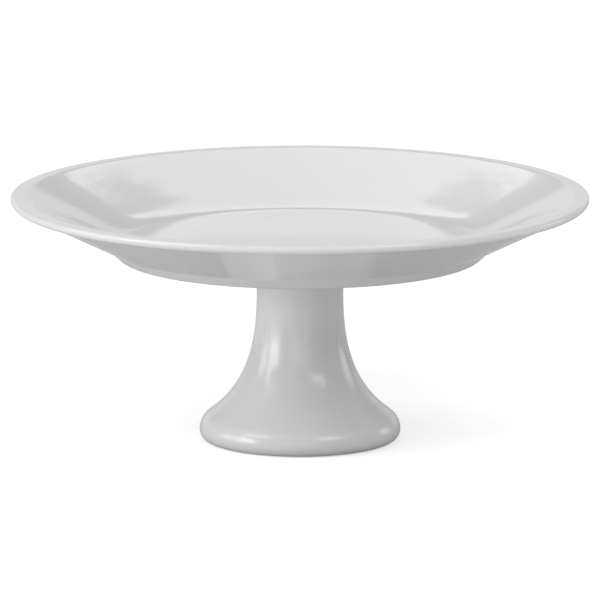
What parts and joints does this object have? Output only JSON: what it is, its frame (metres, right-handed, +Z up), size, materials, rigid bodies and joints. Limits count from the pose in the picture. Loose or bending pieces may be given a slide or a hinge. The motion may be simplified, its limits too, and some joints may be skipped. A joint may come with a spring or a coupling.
{
  "type": "cake stand",
  "caption": "White porcelain cake stand: a wide dished plate with a foot ring, drawn onto a flared hollow pedestal by a concealed screw.",
  "frame": {"origin": "centre of the foot's contact circle, on the surface the stand stands on", "axes": "+Z up along the stand's axis; the wing nut's wings lie along X at rest"},
  "size_m": [0.3, 0.3, 0.129],
  "materials": {
    "glazed_porcelain": "gloss",
    "silicone": "matte",
    "brass": "satin",
    "cement": "matte",
    "zinc_plated_steel": "satin",
    "black_rubber": "matte"
  },
  "bodies": {
    "stand": {"plate": "glazed_porcelain", "pedestal": "glazed_porcelain", "seat_gasket": "silicone", "threaded_insert": "brass", "insert_cement": "cement", "stud": "zinc_plated_steel"},
    "washers": {"cushion_washer": "black_rubber", "steel_washer": "zinc_plated_steel"},
    "nut": {"wing_nut": "zinc_plated_steel"}
  },
  "joints": [
    {"name": "washers_slide", "type": "slide", "parent": "stand", "child": "washers", "axis": [0, 0, -1], "range_m": [0, 0.006]},
    {"name": "nut_turn", "type": "hinge", "parent": "washers", "child": "nut", "pos_m": [0, 0, 0.0674], "axis": [0, 0, -1], "range_deg": [0, 2160]}
  ],
  "couplings": [
    {"joint": "washers_slide", "follows": "nut_turn", "m_per_rad": 0.00015915}
  ]
}
